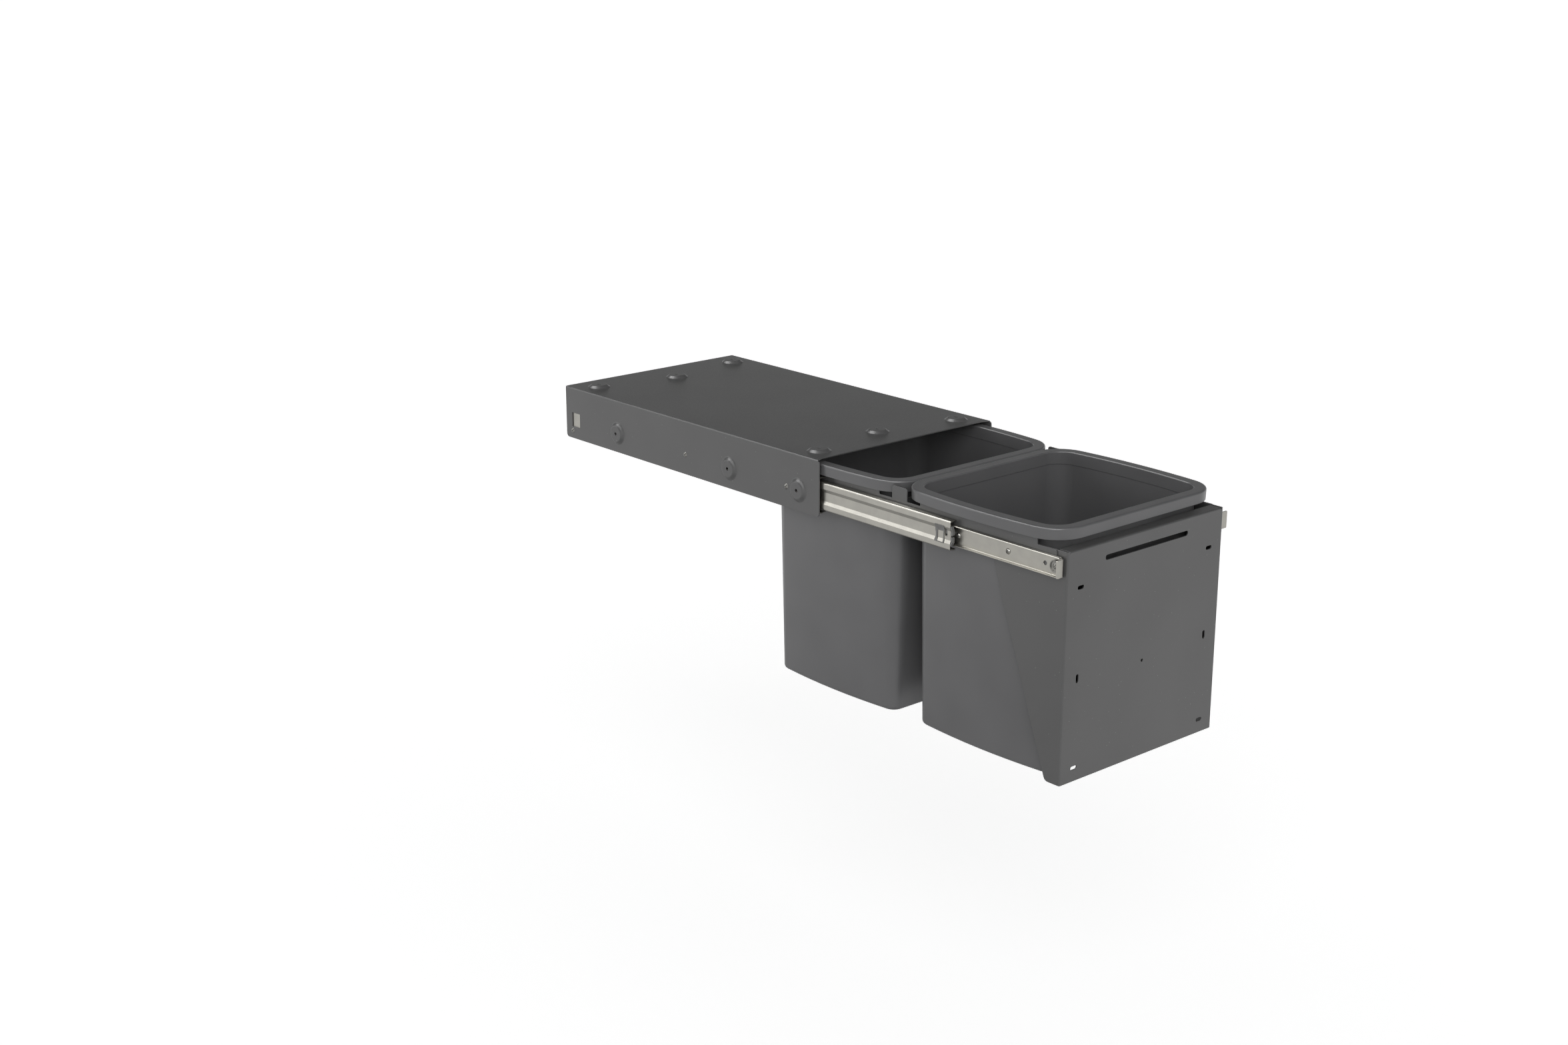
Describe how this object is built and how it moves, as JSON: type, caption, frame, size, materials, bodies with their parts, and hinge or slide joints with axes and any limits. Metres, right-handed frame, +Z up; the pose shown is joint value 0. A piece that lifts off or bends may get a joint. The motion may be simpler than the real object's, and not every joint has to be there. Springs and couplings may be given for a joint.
{
  "type": "pull-out bin frame",
  "caption": "Top-mounted pull-out waste bin unit: a sheet-metal housing with ball-bearing slides, a carriage with a slotted door panel, and lift-out plastic buckets.",
  "frame": {"origin": "centre of the four corner screw holes in the top, on the plane of the dimples' tops", "axes": "+Z up, away from the drawer; the door panel faces -Y; +X to the right of someone who faces it"},
  "size_m": [0.3072, 0.9121, 0.3066],
  "materials": {
    "paint": "dark grey satin powder coat",
    "bucket_plastic": "dark grey moulded polypropylene, slightly satin",
    "zinc_steel": "zinc-plated rolled steel",
    "ball_steel": "polished",
    "rivet_steel": "zinc-plated",
    "clip_plastic": "mid grey",
    "bumper_plastic": "black"
  },
  "bodies": {
    "housing": {"housing_cover": "paint", "outer_rail_left": "zinc_steel", "outer_rail_rivets_left": "rivet_steel", "rear_bumper_left": "bumper_plastic", "outer_rail_right": "zinc_steel", "outer_rail_rivets_right": "rivet_steel", "rear_bumper_right": "bumper_plastic"},
    "carriage": {"side_plate_left": "paint", "side_plate_right": "paint", "rear_cross_plate": "paint", "middle_cross_bar": "paint", "front_panel": "paint", "bucket_front": "bucket_plastic", "bucket_rear": "bucket_plastic", "inner_rail_left": "zinc_steel", "inner_rail_screws_left": "rivet_steel", "inner_rail_right": "zinc_steel", "inner_rail_screws_right": "rivet_steel"},
    "middle_member_left": {"middle_rail_left": "zinc_steel", "catch_clip_left": "clip_plastic", "front_bumper_left": "clip_plastic"},
    "outer_cage_left": {"outer_cage_left": "zinc_steel", "outer_balls_left": "ball_steel"},
    "inner_cage_left": {"inner_cage_left": "zinc_steel", "inner_balls_left": "ball_steel"},
    "cam_adjuster_left": {"cam_adjuster_left": "rivet_steel"},
    "middle_member_right": {"middle_rail_right": "zinc_steel", "catch_clip_right": "clip_plastic", "front_bumper_right": "clip_plastic"},
    "outer_cage_right": {"outer_cage_right": "zinc_steel", "outer_balls_right": "ball_steel"},
    "inner_cage_right": {"inner_cage_right": "zinc_steel", "inner_balls_right": "ball_steel"},
    "cam_adjuster_right": {"cam_adjuster_right": "rivet_steel"}
  },
  "joints": [
    {"name": "drawer_slide", "type": "slide", "parent": "housing", "child": "carriage", "axis": [0, -1, 0], "range_m": [-0.377, 0.125]},
    {"name": "middle_member_slide_left", "type": "slide", "parent": "housing", "child": "middle_member_left", "axis": [0, -1, 0], "range_m": [-0.21876, 0.0726]},
    {"name": "outer_cage_slide_left", "type": "slide", "parent": "housing", "child": "outer_cage_left", "axis": [0, -1, 0], "range_m": [-0.10943, 0.03635]},
    {"name": "inner_cage_slide_left", "type": "slide", "parent": "housing", "child": "inner_cage_left", "axis": [0, -1, 0], "range_m": [-0.29793, 0.09885]},
    {"name": "cam_turn_left", "type": "hinge", "parent": "carriage", "child": "cam_adjuster_left", "pos_m": [-0.139, -0.6344, -0.0489], "axis": [1, 0, 0], "range_deg": [-90, 90]},
    {"name": "middle_member_slide_right", "type": "slide", "parent": "housing", "child": "middle_member_right", "axis": [0, -1, 0], "range_m": [-0.21876, 0.0726]},
    {"name": "outer_cage_slide_right", "type": "slide", "parent": "housing", "child": "outer_cage_right", "axis": [0, -1, 0], "range_m": [-0.10943, 0.03635]},
    {"name": "inner_cage_slide_right", "type": "slide", "parent": "housing", "child": "inner_cage_right", "axis": [0, -1, 0], "range_m": [-0.29793, 0.09885]},
    {"name": "cam_turn_right", "type": "hinge", "parent": "carriage", "child": "cam_adjuster_right", "pos_m": [0.139, -0.6344, -0.0489], "axis": [1, 0, 0], "range_deg": [-90, 90]}
  ],
  "couplings": [
    {"joint": "middle_member_slide_left", "follows": "drawer_slide", "ratio": 0.58},
    {"joint": "outer_cage_slide_left", "follows": "drawer_slide", "ratio": 0.29},
    {"joint": "inner_cage_slide_left", "follows": "drawer_slide", "ratio": 0.79},
    {"joint": "middle_member_slide_right", "follows": "drawer_slide", "ratio": 0.58},
    {"joint": "outer_cage_slide_right", "follows": "drawer_slide", "ratio": 0.29},
    {"joint": "inner_cage_slide_right", "follows": "drawer_slide", "ratio": 0.79}
  ]
}
